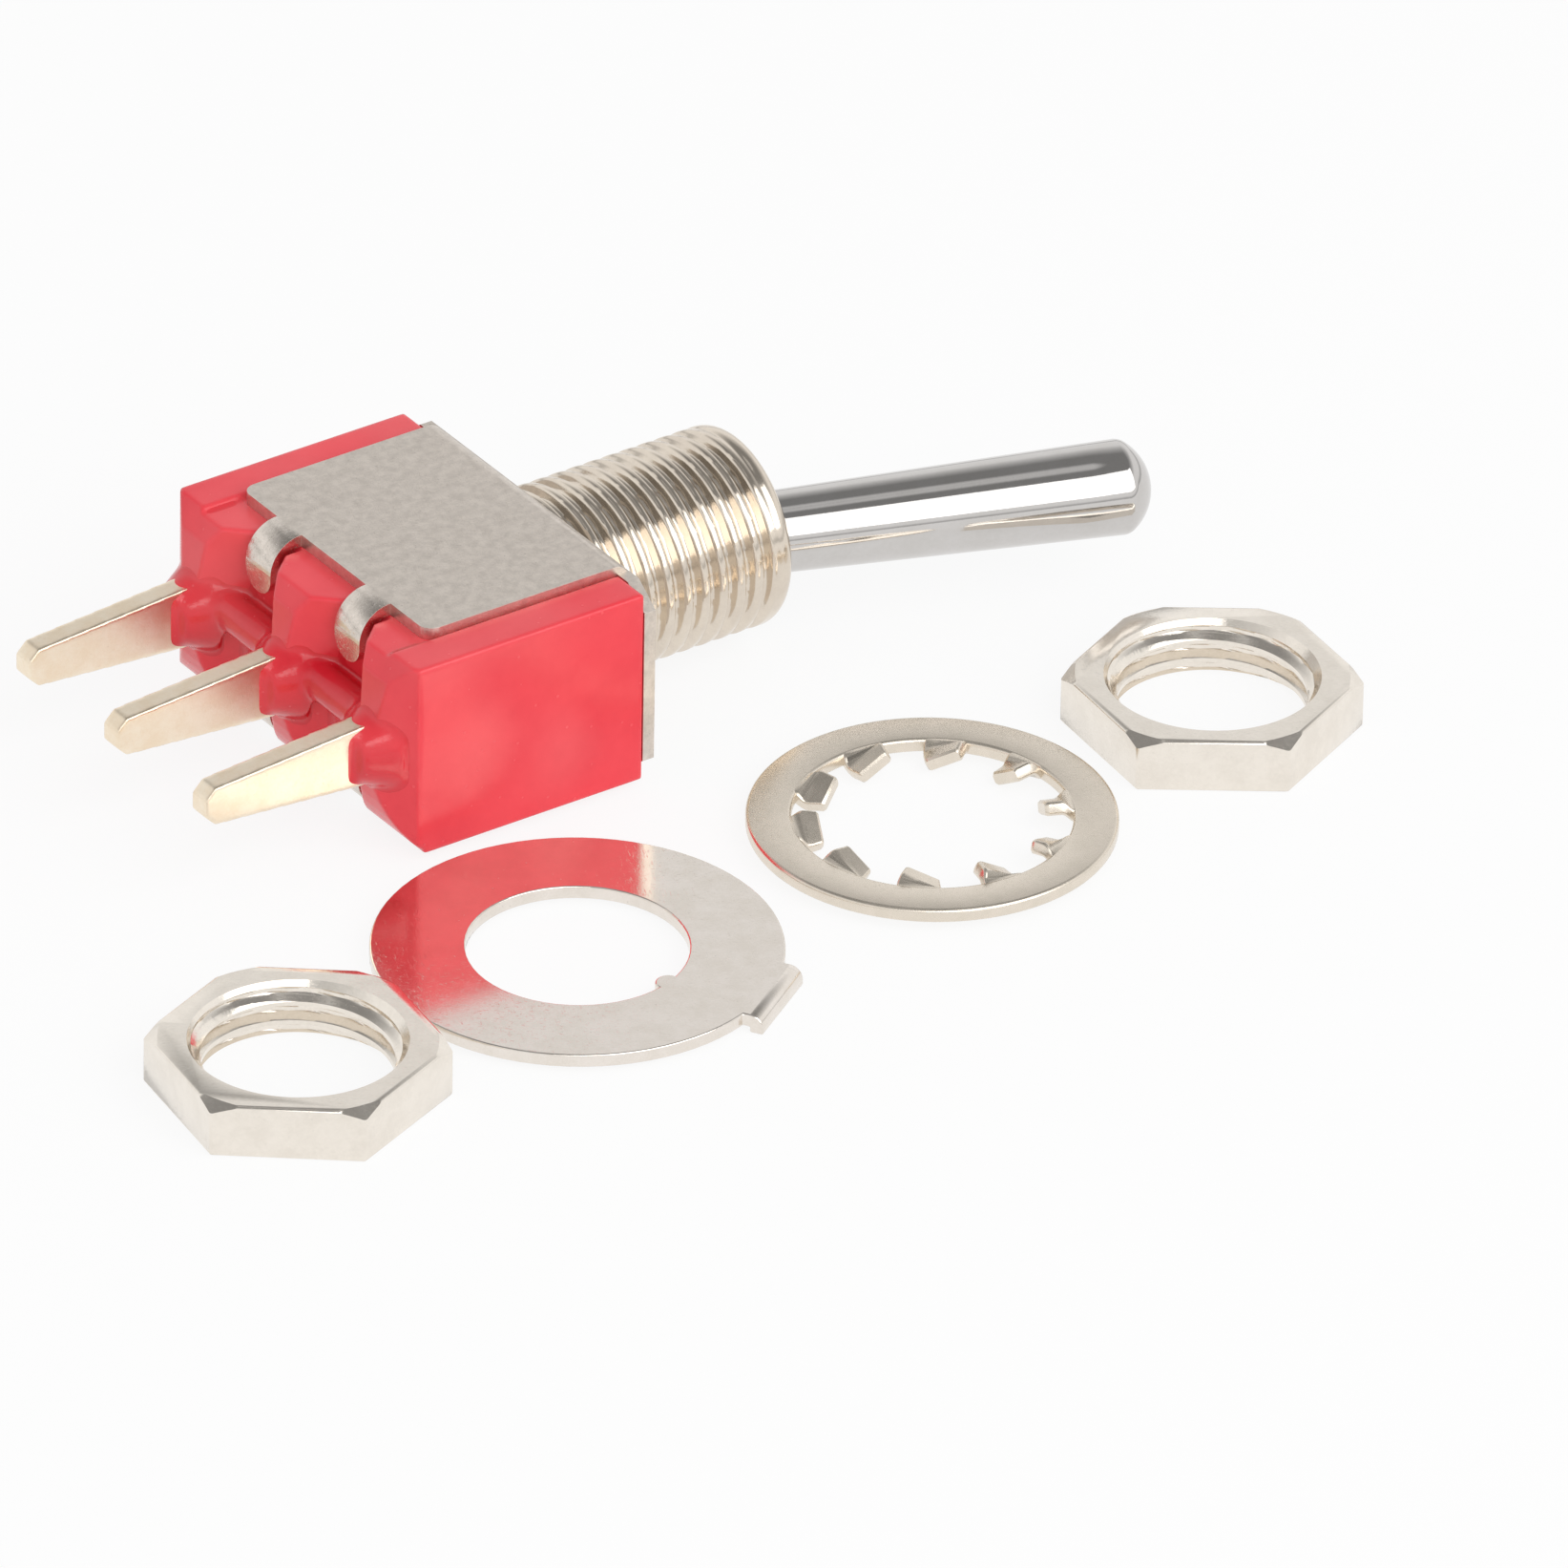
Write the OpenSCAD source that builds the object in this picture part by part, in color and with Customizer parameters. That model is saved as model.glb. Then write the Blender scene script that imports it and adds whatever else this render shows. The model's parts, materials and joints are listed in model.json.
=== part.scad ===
// Sub-miniature panel toggle switch, single pole, double throw, on-on.
// +X runs along the threaded bushing towards the lever, the three terminals
// stand in a row along Y, and +Z is up. The origin is on the bushing's axis in
// the frame's mounting face. The switch lies on its lower flap, with its own
// two nuts, lock washer and locating washer laid out beside it.

/* [Housing] */
// Length of the moulded housing along the terminal row
housing_len = 12.7; // [11.6:0.1:15]
// Height of the housing between its two long faces
housing_h = 6.35; // [6.2:0.05:7]
// Depth of the housing behind the frame plate, at its end faces
housing_depth = 7.96; // [7.9:0.02:9]
// Thickness of the housing's end walls
end_wall = 1.1; // [0.9:0.05:1.2]
// Thickness of the housing's long walls
side_wall = 0.95; // [0.85:0.05:1]
// Thickness of the floor between the contact chamber and the valleys
floor_t = 0.9; // [0.7:0.05:1]
// Distance of an end terminal from the housing's end face
terminal_inset = 1.65; // [1.6:0.05:1.8]
// How far the terminal bosses stand out past the end faces
boss_out = 0.84; // [0.6:0.02:1]
// Half width of a boss at its front
boss_front = 0.3; // [0.25:0.01:0.5]
// Half width of a boss at the bottom of the valleys
boss_base = 1.55; // [1.4:0.05:1.65]

/* [Frame] */
// Thickness of the folded steel sheet
sheet_t = 0.4; // [0.3:0.05:0.5]
// Width of the two flaps along the terminal row
flap_w = 9.83; // [9:0.01:10.5]
// Length of the flaps, from the mounting face
flap_len = 7.15; // [6.9:0.05:7.2]
// Height over the two flaps
frame_h = 6.86; // [6.8:0.01:7.6]
// Size of the clipped corners of the mounting plate
corner_cut = 0.9; // [0.5:0.05:1.2]
// Outer radius of the two long folds
fold_r = 0.5; // [0.45:0.01:0.6]
// Width of a crimp tab
tab_w = 1.3; // [0.9:0.05:1.5]
// Outer radius of a crimp tab's curl
curl_r = 1.1; // [1:0.05:1.15]
// Straight length of a crimp tab after its curl
tab_end = 0.8; // [0.3:0.05:0.9]

/* [Bushing] */
// Diameter over the bushing's thread
thread_d = 6.24; // [6.2:0.02:6.34]
// Length of the bushing in front of the mounting face
bushing_len = 7.3; // [7:0.1:9]
// Depth of the thread
thread_depth = 0.29; // [0.2:0.01:0.3]
// Pitch of the thread, shown as plain grooves
thread_pitch = 0.635; // [0.6:0.005:0.8]
// Chamfer at the bushing's outer end
rim = 0.35; // [0.2:0.05:0.4]
// Thickness of the bushing's base inside the housing
base_t = 0.9; // [0.7:0.05:1]
// Width of the keyway along the thread
keyway_w = 0.9; // [0.7:0.05:1]
// Depth of the keyway
keyway_depth = 0.42; // [0.3:0.02:0.44]

/* [Lever] */
// Distance of the lever's pivot below the end of the bushing
pivot_in = 2.5; // [2.3:0.05:2.6]
// Length of the lever from its pivot to its tip
lever_len = 14.9; // [12:0.1:20]
// Radius of the lever where it leaves the ball
lever_root_r = 1.22; // [1.1:0.02:1.24]
// Radius of the lever at its tip
lever_tip_r = 1.45; // [1.2:0.05:2]
// Throw of the lever to each side of the bushing's axis, in degrees
throw = 19; // [17:0.5:19]
// Radius of the ball that the lever turns on
ball_r = 2.0; // [1.9:0.05:2.05]
// Radius of the trunnions on the ball
trunnion_r = 0.5; // [0.4:0.05:0.55]
// Outer radius of the lever's hollow foot
foot_r = 0.7; // [0.66:0.02:0.72]
// Radius of the bore in the lever's foot
foot_bore_r = 0.4; // [0.36:0.02:0.42]

/* [Contacts] */
// Thickness of a terminal blade
blade_t = 0.76; // [0.5:0.02:0.8]
// Height of a terminal blade at the housing
blade_root = 2.0; // [1.4:0.05:2.2]
// Height of a terminal blade at its tip
blade_tip = 1.25; // [0.8:0.05:1.5]
// Length of a terminal blade outside the bosses
blade_out = 5.8; // [3:0.1:8]
// Thickness of the contact strips inside the housing
strip_t = 0.4; // [0.3:0.05:0.45]
// Width of the rocking contact
rocker_w = 2.4; // [2:0.1:2.4]
// Tilt of the rocking contact to each side, in degrees
rocker_tilt = 6; // [5:0.5:7]
// Distance of a contact point inside its terminal, towards the centre
contact_inset = 0.35; // [0.3:0.05:0.45]
// Radius of a fixed contact
contact_r = 0.6; // [0.5:0.05:0.65]
// Thickness of a fixed contact
contact_t = 0.3; // [0.2:0.02:0.36]
// Radius of the plunger's nose
nose_r = 0.55; // [0.5:0.01:0.6]
// Travel of the plunger into the lever
plunger_travel = 0.5; // [0.3:0.05:0.6]
// Wire radius of the plunger's spring
wire_r = 0.07; // [0.05:0.01:0.08]
// Turns of the plunger's spring
spring_turns = 8; // [5:1:9]

/* [Hardware] */
// Distance across the flats of a nut
nut_af = 7.8; // [7.6:0.02:9]
// Thickness of a nut
nut_t = 1.7; // [1.4:0.05:2]
// Outer diameter of the lock washer
lock_od = 11; // [10.4:0.05:11.2]
// Inner diameter of the lock washer's ring
lock_ring_id = 8.3; // [7.8:0.05:8.5]
// Thickness of the lock washer's sheet
lock_t = 0.45; // [0.35:0.01:0.5]
// Number of teeth inside the lock washer
teeth = 10; // [8:1:11]
// Twist of the lock washer's teeth, in degrees
tooth_twist = 30; // [20:1:35]
// Width of a tooth
tooth_w = 1.3; // [1:0.05:1.4]
// Outer diameter of the locating washer
locating_od = 12.15; // [11.8:0.05:12.4]
// Thickness of the locating washer's sheet
locating_t = 0.42; // [0.35:0.01:0.5]
// Width of the locating tab at the washer's edge
locating_tab_w = 3.1; // [1.5:0.1:3.4]
// Depth to which the locating tab is bent down
locating_tab_h = 0.6; // [0.5:0.05:0.9]
// Angle from the locating tab round to the inner key, in degrees
key_turn = -14; // [-20:1:20]

/* [Layout] */
// How far the left nut lies behind the terminals' tips
nut_left_back = 3.19; // [3:0.1:8]
// How far the left nut lies out from the near end face
nut_left_out = 8.36; // [8:0.1:14]
// Turn of the left nut, in degrees
nut_left_turn = 22; // [0:1:60]
// How far the right nut lies ahead of the lever's pivot
nut_right_ahead = 10.96; // [10.8:0.1:16]
// How far the right nut lies out from the near end face
nut_right_out = 6.24; // [6:0.1:14]
// Turn of the right nut, in degrees
nut_right_turn = 25; // [0:1:60]
// How far the lock washer lies ahead of the lever's pivot
lock_ahead = 0.42; // [0.2:0.1:0.8]
// How far the lock washer lies out from the near end face
lock_out = 6.87; // [6.6:0.1:12]
// Turn of the lock washer, in degrees
lock_turn = 13.4; // [0:0.2:36]
// How far the locating washer lies ahead of the housing's back
locating_ahead = 0.81; // [0.4:0.1:1.2]
// How far the locating washer lies out from the near end face
locating_out = 7.09; // [7:0.1:12]
// Turn of the locating washer, in degrees
locating_turn = -57; // [-180:1:180]

/* [Fits] */
// Running gap between a moving piece and its seat
running_gap = 0.05; // [0.04:0.01:0.06]
// Sliding gap round the plunger and the trunnions
sliding_gap = 0.03; // [0.03:0.01:0.05]
// Gap between two fixed pieces that drop into one another
drop_gap = 0.04; // [0.02:0.01:0.06]
// Gap between the lever and the bushing at the end of its throw
stop_gap = 0.06; // [0.05:0.01:0.08]

/* [Hidden] */
$fn = 64;
eps = 0.01;
over = 1;

red = "crimson";
steel = "lightslategray";
nickel = "tan";
gold = "khaki";
silver = "silver";

// Heights and planes of the switch
pitch = housing_len / 2 - terminal_inset;
table_z = -frame_h / 2;
recess_z = frame_h / 2 - sheet_t;
shell_x = -sheet_t - housing_depth;
boss_x = shell_x - boss_out;
valley_x = -flap_len - curl_r + sheet_t;
chamber_x = valley_x + floor_t;
blade_x = boss_x - blade_out;
seat_x = -sheet_t - base_t;
belly_x = 1.5;
belly_drop = 0.2;
belly_z = housing_h / 2 - belly_drop;
boss_lean = 0.28;
boss_slope = 0.7;
lip = 0.1;
round_r = 0.45;
crimp_root = 0.5;
chamber_y = housing_len / 2 - end_wall;
chamber_z = housing_h / 2 - side_wall;
ledge = 0.45;
base_len = 2 * (chamber_y + ledge);
base_h = 2 * (chamber_z + ledge);

// The bushing's bore round the lever
thread_r = thread_d / 2;
neck_r = thread_r - thread_depth;
crest_w = 0.2;
groove_flat = 0.2;
pivot_x = bushing_len - pivot_in;
ball_bore_r = ball_r + running_gap;
trunnion_len = 0.3;
shank_fillet = 0.3;
foot_shoulder = 0.4;
foot_cone_r = 1;
foot_cone_up = 1.6;
dome_share = 1.16;
slot_r = ball_r + trunnion_len + drop_gap;
hinge_slot_r = trunnion_r + sliding_gap;
seat_angle = 66;
foot_swing = function(x) (pivot_x - x) * tan(throw) + foot_r / cos(throw);
shank_swing = function(x) (x - pivot_x) * tan(throw) + lever_root_r / cos(throw);
wide_bore_r = foot_swing(-sheet_t / 2) + stop_gap;
base_bore_r = foot_swing(seat_x) + 3 * stop_gap;
throat_r = shank_swing(bushing_len) + stop_gap;
foot_side_gap = 0.5;
narrow_x = pivot_x - ball_r - running_gap;

// The rocking contact, in its own frame: a runs up from its pivot, b runs out
contact_reach = pitch - contact_inset;
rib_r = 0.45;
saddle_lift = 0.1;
pivot_top = saddle_lift + strip_t;
contact_x = chamber_x + strip_t + contact_t;
rocker_height = 3.0;
rocker_x = chamber_x + rocker_height;
nose_rise = pivot_top + running_gap + nose_r;
nose_len = pivot_x - rocker_x - nose_rise;
end_up = pivot_x - rocker_x - nose_len * cos(throw);
end_out = nose_len * sin(throw);
end_a = end_up * cos(rocker_tilt) + end_out * sin(rocker_tilt);
end_b = end_out * cos(rocker_tilt) - end_up * sin(rocker_tilt);
end_rise = end_a - nose_rise;
path_r = (end_b * end_b + end_rise * end_rise) / (2 * end_rise);
saddle_r = path_r + nose_r + running_gap;
saddle_a = nose_rise + path_r;
saddle_margin = 0.65;
saddle_b = end_b + saddle_margin;
saddle_angle = asin(saddle_b / saddle_r);
bump_r = 0.5;
bump_h = 0.2;
bump_root = 0.1;
saddle_lip = 0.2;
web_step = 0.05;
foot_b = contact_reach + bump_r;
pad_a = contact_x - rocker_x + contact_reach * sin(rocker_tilt) + bump_h + running_gap;

// The plunger and its spring inside the lever's foot
foot_end = nose_len - nose_r - plunger_travel - running_gap;
bore_inset = 0.55;
rod_engaged = 1.9;
bore_end = ball_r + bore_inset;
rod_r = foot_bore_r - sliding_gap;
rod_end = foot_end - rod_engaged;
spring_r = foot_bore_r - wire_r - sliding_gap;

// Terminals: the row is centred on the bushing's axis
root_half = blade_root / 2;
tip_half = blade_tip / 2;
tip_cut = 0.35;
tab_tip_z = frame_h / 2 - curl_r - tab_end;
seal_depth = 0.25;
seal_top = 0.2;
bead_r = 0.6;
bead_z = 0.35;
bead_inset = 0.75;
bead_x = boss_x + bead_inset;
collar_r = 0.85;
collar_len = 0.6;
collar_back = 0.5;
cone_r = 1.45;
head_margin = 0.1;
head_y = pitch - contact_reach + contact_r + head_margin;
post_half = 0.8;
post_foot = 0.15;
blade_shoulder = 0.4;
cheek_t = 0.35;
cheek_z = rocker_w / 2 + 2 * running_gap;

// Hardware laid out on the table beside the switch, as x, y and turn
near_y = -housing_len / 2;
nut_left_at = [blade_x - nut_left_back, near_y - nut_left_out];
nut_right_at = [pivot_x + nut_right_ahead, near_y - nut_right_out];
lock_at = [pivot_x + lock_ahead, near_y - lock_out];
locating_at = [shell_x + locating_ahead, near_y - locating_out];
nut_bore_r = neck_r + sliding_gap;
pass_gap = 0.12;
nut_sink_r = thread_r + pass_gap;
nut_edge = 0.1;
washer_hole_r = thread_r + drop_gap + pass_gap;
tooth_hole_r = thread_r + pass_gap;
tooth_root = 0.35;
tooth_drop = (tooth_w * sin(tooth_twist) + lock_t * cos(tooth_twist) - lock_t) / 2;
key_len = keyway_depth - running_gap;
locating_root = 0.5;

// Extrusions along the three axes, and a cylinder along X
module along_x(from, to) {
    translate([from, 0, 0]) rotate([90, 0, 90]) linear_extrude(height = to - from) children();
}
module along_y(width) {
    rotate([90, 0, 0]) linear_extrude(height = width, center = true) children();
}
module along_z(height) {
    linear_extrude(height = height, center = true) children();
}
module x_cylinder(r, from, to, r_to = undef) {
    translate([from, 0, 0]) rotate([0, 90, 0])
        cylinder(r1 = r, r2 = is_undef(r_to) ? r : r_to, h = to - from);
}
module mirrored_y() {
    children();
    mirror([0, 1, 0]) children();
}
module mirrored_z() {
    children();
    mirror([0, 0, 1]) children();
}

// Plan of the housing: a block with three bosses and two valleys
module housing_plan() {
    end = housing_len / 2;
    polygon([
        [-sheet_t, -end], [shell_x, -end],
        [boss_x, -pitch - boss_front], [boss_x, -pitch + boss_front],
        [valley_x, -pitch + boss_base], [valley_x, -boss_base],
        [boss_x, -boss_front], [boss_x, boss_front],
        [valley_x, boss_base], [valley_x, pitch - boss_base],
        [boss_x, pitch - boss_front], [boss_x, pitch + boss_front],
        [shell_x, end], [-sheet_t, end]
    ]);
}

// Side of the housing: the bosses lean in above, and round in below mid height
module housing_side() {
    top = housing_h / 2;
    polygon(concat(
        [for (a = [0:10:80]) [boss_x + belly_x * (1 - cos(a)), -belly_drop - belly_z * sin(a)]],
        [[shell_x + lip, -top], [-sheet_t, -top], [-sheet_t, top], [shell_x - lip, top],
         [boss_x + boss_lean, top - boss_slope], [boss_x, belly_drop]]
    ));
}

// Recess for a flap, with the chamfer that a crimp tab curls round
module flap_recess() {
    mirrored_z()
        translate([boss_x - over, -flap_w / 2 - drop_gap, recess_z])
            cube([2 * over - boss_x, flap_w + 2 * drop_gap, housing_h]);
    for (side = [-1, 1])
        translate([0, side * pitch / 2, 0])
            along_y(tab_w + 6 * drop_gap) mirror_pair_2d() polygon([
                [-flap_len, recess_z + eps], [valley_x, recess_z - curl_r + sheet_t],
                [boss_x - over, recess_z - curl_r + sheet_t], [boss_x - over, recess_z + eps]
            ]);
}
module mirror_pair_2d() {
    children();
    mirror([0, 1]) children();
}

module blade_slot(y) {
    translate([boss_x - over, y - blade_t / 2, -root_half])
        cube([chamber_x - boss_x + 2 * over, blade_t, blade_root]);
}

module housing() {
    color(red) difference() {
        intersection() {
            along_z(housing_h) housing_plan();
            along_y(housing_len) housing_side();
        }
        translate([chamber_x, -chamber_y, -chamber_z])
            cube([-chamber_x, 2 * chamber_y, 2 * chamber_z]);
        translate([seat_x, -base_len / 2 - drop_gap, -base_h / 2 - drop_gap])
            cube([base_t + over, base_len + 2 * drop_gap, base_h + 2 * drop_gap]);
        flap_recess();
        for (y = [-pitch, 0, pitch]) blade_slot(y);
    }
}

// Epoxy that seals the terminals: a bead along the row, with a cone at each
module epoxy_seal() {
    color(red) difference() {
        union() {
            translate([bead_x, 0, bead_z]) rotate([90, 0, 0])
                cylinder(r = bead_r, h = 2 * pitch, center = true);
            for (y = [-pitch, 0, pitch])
                translate([0, y, 0])
                    x_cylinder(collar_r, boss_x - collar_len, boss_x + collar_back, cone_r);
            translate([valley_x - seal_depth, -pitch, -tab_tip_z + drop_gap])
                cube([seal_depth, 2 * pitch, tab_tip_z + seal_top]);
        }
        housing_solid();
        for (y = [-pitch, 0, pitch]) blade_slot(y);
    }
}
module housing_solid() {
    intersection() {
        along_z(housing_h) housing_plan();
        along_y(housing_len) housing_side();
    }
}

// Frame folded from one sheet: plate, two flaps and four crimp tabs
module fold_section() {
    half = frame_h / 2;
    difference() {
        union() {
            translate([-flap_len, -half]) square([flap_len - fold_r, frame_h]);
            translate([-fold_r - eps, -half + fold_r]) square([fold_r + eps, frame_h - 2 * fold_r]);
            mirror_pair_2d() translate([-fold_r, half - fold_r]) circle(r = fold_r);
        }
        translate([-flap_len - over, -recess_z])
            square([flap_len + over - sheet_t, 2 * recess_z]);
    }
}
module flap_plan() {
    translate([-flap_len + round_r, -flap_w / 2]) square([flap_len, flap_w]);
    translate([-flap_len, -flap_w / 2 + round_r]) square([flap_len, flap_w - 2 * round_r]);
    for (side = [-1, 1])
        translate([-flap_len + round_r, side * (flap_w / 2 - round_r)]) circle(r = round_r);
}
module plate_outline() {
    end = housing_len / 2;
    half = frame_h / 2;
    shoulder = housing_h / 2;
    polygon([
        [-end, -half + corner_cut], [-end, half - corner_cut],
        [-end + corner_cut, shoulder], [end - corner_cut, shoulder],
        [end, half - corner_cut], [end, -half + corner_cut],
        [end - corner_cut, -shoulder], [-end + corner_cut, -shoulder]
    ]);
}
module crimp_section() {
    half = frame_h / 2;
    translate([-flap_len, half - curl_r]) {
        intersection() {
            difference() {
                circle(r = curl_r);
                circle(r = curl_r - sheet_t);
            }
            translate([-curl_r, 0]) square([curl_r, curl_r]);
        }
        translate([-eps, curl_r - sheet_t]) square([crimp_root, sheet_t]);
        translate([-curl_r, -tab_end]) square([sheet_t, tab_end + eps]);
    }
}
// A crimp tab: its curl, cut to a half-round end
module crimp_tab() {
    intersection() {
        along_y(tab_w) crimp_section();
        along_x(-flap_len - curl_r - over, 0) {
            translate([0, tab_tip_z + tab_w / 2]) circle(r = tab_w / 2);
            translate([-tab_w / 2, tab_tip_z + tab_w / 2]) square([tab_w, frame_h]);
        }
    }
}
module frame() {
    color(steel) difference() {
        union() {
            intersection() {
                along_y(flap_w) fold_section();
                along_z(frame_h) flap_plan();
            }
            along_x(-sheet_t, 0) plate_outline();
            for (side = [-1, 1])
                translate([0, side * pitch / 2, 0]) mirrored_z() crimp_tab();
        }
        x_cylinder(thread_r + drop_gap, -sheet_t - over, over);
    }
}

// Bushing: threaded barrel on a base, with a ball seat, throat and keyway.
// The barrel's half section has one groove for each turn of the thread.
module barrel_section() {
    turns = floor((bushing_len - rim - crest_w) / thread_pitch);
    difference() {
        polygon([
            [0, -sheet_t], [neck_r, -sheet_t], [neck_r, 0], [thread_r, 0],
            [thread_r, bushing_len - rim], [thread_r - rim, bushing_len], [0, bushing_len]
        ]);
        for (i = [0:turns - 1])
            translate([0, crest_w + i * thread_pitch]) groove_section();
    }
}
module groove_section() {
    width = thread_pitch - crest_w;
    flat = width * groove_flat;
    polygon([
        [thread_r + eps, 0], [thread_r, 0], [neck_r, (width - flat) / 2],
        [neck_r, (width + flat) / 2], [thread_r, width], [thread_r + eps, width]
    ]);
}
module bore_section() {
    seat_r = ball_bore_r * sin(seat_angle);
    seat_up = pivot_x + ball_bore_r * cos(seat_angle);
    intersection() {
        union() {
            translate([0, pivot_x]) circle(r = ball_bore_r);
            polygon([
                [0, seat_x - over], [ball_bore_r, seat_x - over], [ball_bore_r, -sheet_t / 2],
                [wide_bore_r, -sheet_t / 2], [wide_bore_r, narrow_x],
                [ball_bore_r, narrow_x], [ball_bore_r, pivot_x], [0, pivot_x]
            ]);
            polygon([
                [0, seat_up], [seat_r, seat_up], [throat_r, bushing_len],
                [throat_r, bushing_len + over], [0, bushing_len + over]
            ]);
        }
        translate([0, seat_x - over]) square([wide_bore_r + over, bushing_len - seat_x + 2 * over]);
    }
}
// Slot in the bushing's base that the lever's foot swings through
module foot_slot() {
    slope = (base_bore_r - wide_bore_r) / (-sheet_t / 2 - seat_x);
    mouth = base_bore_r + slope * over;
    along_z(2 * (foot_r + foot_side_gap)) polygon([
        [seat_x - over, -mouth], [-sheet_t / 2, -wide_bore_r],
        [-sheet_t / 2, wide_bore_r], [seat_x - over, mouth]
    ]);
}
module bushing() {
    color(nickel) difference() {
        union() {
            rotate([0, 90, 0]) rotate_extrude() barrel_section();
            translate([seat_x, -base_len / 2, -base_h / 2]) cube([base_t, base_len, base_h]);
        }
        rotate([0, 90, 0]) rotate_extrude() bore_section();
        foot_slot();
        translate([seat_x - over, -hinge_slot_r, -slot_r])
            cube([pivot_x - seat_x + over, 2 * hinge_slot_r, 2 * slot_r]);
        translate([pivot_x, 0, 0]) cylinder(r = hinge_slot_r, h = 2 * slot_r, center = true);
        translate([0, thread_r - keyway_depth, -keyway_w / 2])
            cube([bushing_len + over, thread_d, keyway_w]);
    }
}

// Everything on the lever is modelled along X from its pivot, then thrown
module at_rest() {
    translate([pivot_x, 0, 0]) rotate([0, 0, -throw]) children();
}
// Half section of the lever, from its hollow foot up to its domed tip
module lever_section() {
    neck = sqrt(ball_r * ball_r - lever_root_r * lever_root_r);
    dome_r = lever_tip_r * dome_share;
    dome = dome_r - sqrt(dome_r * dome_r - lever_tip_r * lever_tip_r);
    shoulder = bore_end + foot_shoulder;
    difference() {
        intersection() {
            union() {
                circle(r = ball_r);
                polygon([
                    [0, 0], [lever_root_r, 0], [lever_root_r, neck + shank_fillet],
                    [lever_tip_r, lever_len - dome], [0, lever_len - dome]
                ]);
                intersection() {
                    translate([0, lever_len - dome_r]) circle(r = dome_r);
                    translate([0, lever_len - dome]) square([lever_tip_r, dome]);
                }
                polygon([[0, -foot_end], [foot_r, -foot_end], [foot_r, -shoulder],
                         [foot_cone_r, -foot_cone_up], [0, -foot_cone_up]]);
            }
            translate([0, -foot_end]) square([ball_r + over, foot_end + lever_len]);
        }
        translate([-over, -foot_end - over])
            square([foot_bore_r + over, foot_end + over - bore_end]);
    }
}
module lever() {
    color(silver) at_rest() {
        rotate([0, 90, 0]) rotate_extrude() lever_section();
        cylinder(r = trunnion_r, h = 2 * (ball_r + trunnion_len), center = true);
    }
}
module plunger() {
    color("ivory") at_rest() {
        translate([-nose_len, 0, 0]) sphere(r = nose_r);
        x_cylinder(rod_r, -nose_len, -rod_end);
    }
}

// A coil of round wire: rings of points along a helix, closed at both ends
function coil_points(r, wire, rise, turns, steps, sides) = [
    for (i = [0:turns * steps]) let (a = 360 * i / steps, z = rise * i / steps)
        for (k = [0:sides - 1]) let (b = 360 * k / sides)
            [(r + wire * cos(b)) * cos(a), (r + wire * cos(b)) * sin(a), z + wire * sin(b)]
];
function coil_faces(rings, sides) = concat(
    [[for (k = [0:sides - 1]) k]],
    [for (i = [0:rings - 2]) for (k = [0:sides - 1]) let (n = (k + 1) % sides)
        [i * sides + k, (i + 1) * sides + k, (i + 1) * sides + n, i * sides + n]],
    [[for (k = [sides - 1:-1:0]) (rings - 1) * sides + k]]
);
module coil(r, wire, rise, turns, steps = 14, sides = 6) {
    polyhedron(points = coil_points(r, wire, rise, turns, steps, sides),
               faces = coil_faces(turns * steps + 1, sides), convexity = 10);
}
module plunger_spring() {
    spring_len = rod_end - bore_end - 2 * wire_r - 2 * sliding_gap;
    color(silver) at_rest()
        translate([-bore_end - wire_r - sliding_gap, 0, 0]) rotate([0, -90, 0])
            coil(spring_r, wire_r, spring_len / spring_turns, spring_turns);
}

// Rocking contact: a saddle that the nose rides in, and two bent-down feet
module rocker_section() {
    web_b = saddle_b - web_step;
    saddle_end_a = saddle_a - saddle_r * cos(saddle_angle);
    intersection() {
        translate([saddle_a, 0]) difference() {
            circle(r = saddle_r + strip_t);
            circle(r = saddle_r);
        }
        translate([-over, -saddle_b]) square([saddle_end_a + over + saddle_lip, 2 * saddle_b]);
    }
    mirror_pair_2d() {
        translate([pad_a, web_b]) square([saddle_end_a - pad_a - web_step, strip_t]);
        translate([pad_a, web_b]) square([strip_t, foot_b - web_b]);
    }
    circle(r = rib_r);
}
module rocker_contact() {
    color(silver) translate([rocker_x, 0, 0]) rotate([0, 0, rocker_tilt]) {
        along_z(rocker_w) rocker_section();
        mirrored_y() translate([pad_a, contact_reach, 0]) bump();
    }
}
module bump() {
    ball = (bump_r * bump_r + bump_h * bump_h) / (2 * bump_h);
    intersection() {
        translate([ball - bump_h, 0, 0]) sphere(r = ball);
        x_cylinder(bump_r, -bump_h - over, bump_root);
    }
}

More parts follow.
